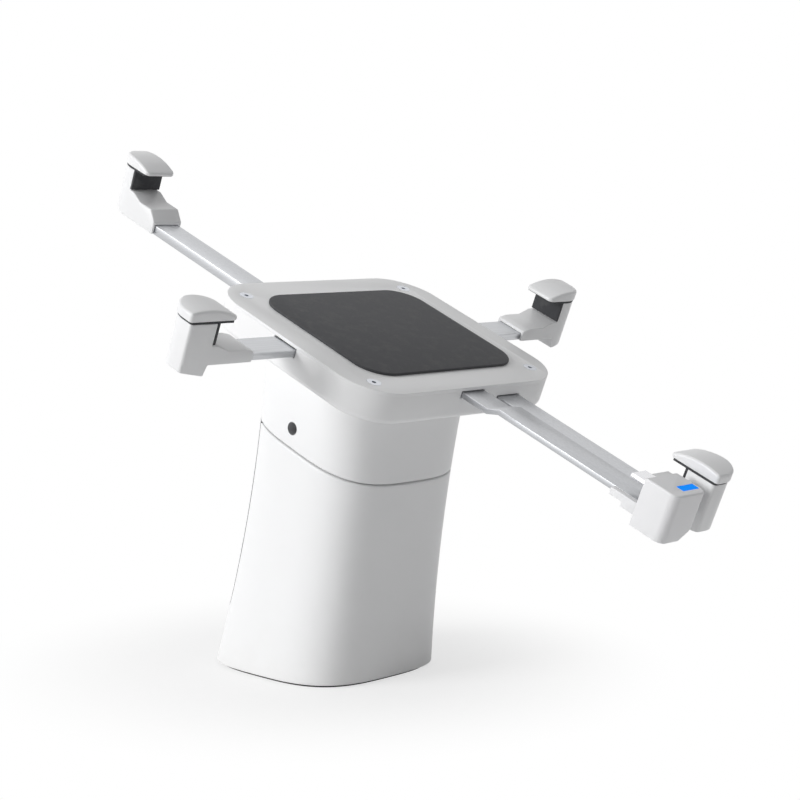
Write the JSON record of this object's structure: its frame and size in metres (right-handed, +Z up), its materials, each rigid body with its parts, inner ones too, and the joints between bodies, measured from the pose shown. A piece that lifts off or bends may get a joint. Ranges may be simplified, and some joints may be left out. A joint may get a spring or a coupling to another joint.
{
  "type": "anti-theft display stand",
  "caption": "Leaning column stand whose swivelling cradle holds a small tablet flat on a padded hub, gripped by sliding claws with lined hooks and watched by a plug-in alarm sensor.",
  "frame": {"origin": "centre of the cable hole where the foot meets the table", "axes": "+Z up, -Y towards the user, +X to the user's right"},
  "size_m": [0.1585, 0.213, 0.1557],
  "materials": {
    "shell_white": "satin moulded ABS",
    "screw_steel": "zinc plated",
    "plate_steel": "zinc plated",
    "foot_dark": "matt foam rubber",
    "battery_wrap": "heat-shrink film",
    "gear_brass": "hobbed brass",
    "board_green": "solder mask",
    "sounder_black": "moulded housing",
    "turned_steel": "turned, zinc plated",
    "washer_nylon": "natural nylon",
    "pad_dark": "matt silicone",
    "strip_aluminium": "brushed and anodised",
    "sensor_white": "satin moulded ABS",
    "window_blue": "clear polished lens",
    "plug_metal": "nickel plated",
    "bar_aluminium": "brushed and anodised",
    "claw_white": "satin moulded ABS",
    "liner_dark": "matt silicone"
  },
  "bodies": {
    "tower": {"tower_shell": "shell_white", "rear_cover": "shell_white", "rear_cover_screw": "screw_steel", "base_plate": "plate_steel", "base_screws": "screw_steel", "foot_pad": "foot_dark", "battery": "battery_wrap", "board_standoffs": "gear_brass", "alarm_board": "board_green", "sounder": "sounder_black", "swivel_collar": "turned_steel", "collar_screws": "screw_steel"},
    "head": {"head_shell": "shell_white", "head_screws": "screw_steel", "swivel_neck": "turned_steel", "thrust_washer": "washer_nylon", "swivel_nut": "turned_steel", "lock_screw": "screw_steel", "hub_tray": "shell_white", "side_lock_screws": "screw_steel", "rack_lock_screws": "screw_steel", "hub_cover": "shell_white", "hub_cover_screws": "screw_steel", "device_pad": "pad_dark", "pinion_axle": "turned_steel", "pinion_clip": "turned_steel"},
    "pinion": {"pinion": "gear_brass"},
    "top_claw": {"top_arm": "bar_aluminium", "top_post": "claw_white", "top_liner": "liner_dark", "top_cap": "claw_white", "top_cap_screw": "screw_steel"},
    "bottom_claw": {"bottom_arm": "bar_aluminium", "bottom_post": "claw_white", "bottom_liner": "liner_dark", "bottom_cap": "claw_white", "bottom_cap_screw": "screw_steel"},
    "left_claw": {"left_arm": "bar_aluminium", "left_post": "claw_white", "left_liner": "liner_dark", "left_cap": "claw_white", "left_cap_screw": "screw_steel"},
    "right_claw": {"right_arm": "bar_aluminium", "right_post": "claw_white", "right_liner": "liner_dark", "right_cap": "claw_white", "right_cap_screw": "screw_steel"},
    "sensor": {"sensor_strip": "strip_aluminium", "sensor_boot": "sensor_white", "sensor_screw": "screw_steel", "sensor_block": "sensor_white", "sensor_window": "window_blue", "sensor_plug": "plug_metal"}
  },
  "joints": [
    {"name": "head_swivel", "type": "hinge", "parent": "tower", "child": "head", "pos_m": [0, -0.0318, 0.1098], "axis": [0, -0.3827, 0.9239], "range_deg": [-90, 90]},
    {"name": "top_claw_slide", "type": "slide", "parent": "head", "child": "top_claw", "axis": [0, 0.9239, 0.3827], "range_m": [-0.008, 0.012]},
    {"name": "bottom_claw_slide", "type": "slide", "parent": "head", "child": "bottom_claw", "axis": [0, -0.9239, -0.3827], "range_m": [-0.008, 0.012]},
    {"name": "pinion_spin", "type": "hinge", "parent": "head", "child": "pinion", "pos_m": [0, -0.0318, 0.1098], "axis": [0, -0.3827, 0.9239], "range_deg": [-64, 43]},
    {"name": "left_claw_slide", "type": "slide", "parent": "head", "child": "left_claw", "axis": [-1, 0, 0], "range_m": [-0.0105, 0.0095]},
    {"name": "right_claw_slide", "type": "slide", "parent": "head", "child": "right_claw", "axis": [1, 0, 0], "range_m": [-0.008, 0.012]},
    {"name": "sensor_slide", "type": "slide", "parent": "head", "child": "sensor", "axis": [0, -0.9239, -0.3827], "range_m": [-0.008, 0.012]}
  ],
  "couplings": [
    {"joint": "bottom_claw_slide", "follows": "top_claw_slide", "ratio": 1},
    {"joint": "pinion_spin", "follows": "top_claw_slide", "rad_per_m": -92.593}
  ]
}
